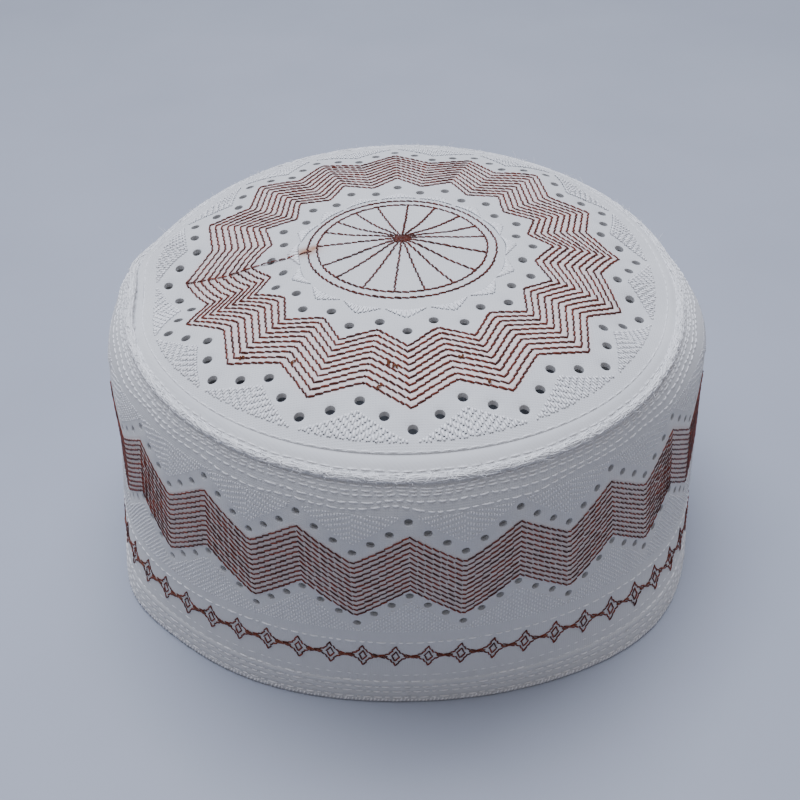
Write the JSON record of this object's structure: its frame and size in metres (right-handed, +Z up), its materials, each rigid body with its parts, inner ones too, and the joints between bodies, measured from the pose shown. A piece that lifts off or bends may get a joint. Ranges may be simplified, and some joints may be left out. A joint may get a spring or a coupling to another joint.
{
  "type": "prayer cap",
  "caption": "White embroidered prayer cap: round domed crown with eyelets cut through, nearly upright oval side band, frayed rim seam and quilted hem, open below for the head.",
  "frame": {"origin": "on the surface the cap rests on, in the middle of the oval of its hem", "axes": "+X along the longer way across the hem, to the right in the picture; +Y to the back, away from the camera; +Z up, from the hem to the crown"},
  "size_m": [0.1925, 0.1766, 0.1024],
  "materials": {
    "embroidered_cloth": "matte",
    "plain_twill": "matte",
    "seam_thread": "matte",
    "hem_cloth": "matte",
    "white_thread": "satin",
    "brown_thread": "satin"
  },
  "bodies": {
    "root": {"crown_panel": "embroidered_cloth", "crown_margin": "plain_twill", "rim_seam": "seam_thread", "side_band": "embroidered_cloth", "hem_band": "hem_cloth"}
  },
  "joints": []
}
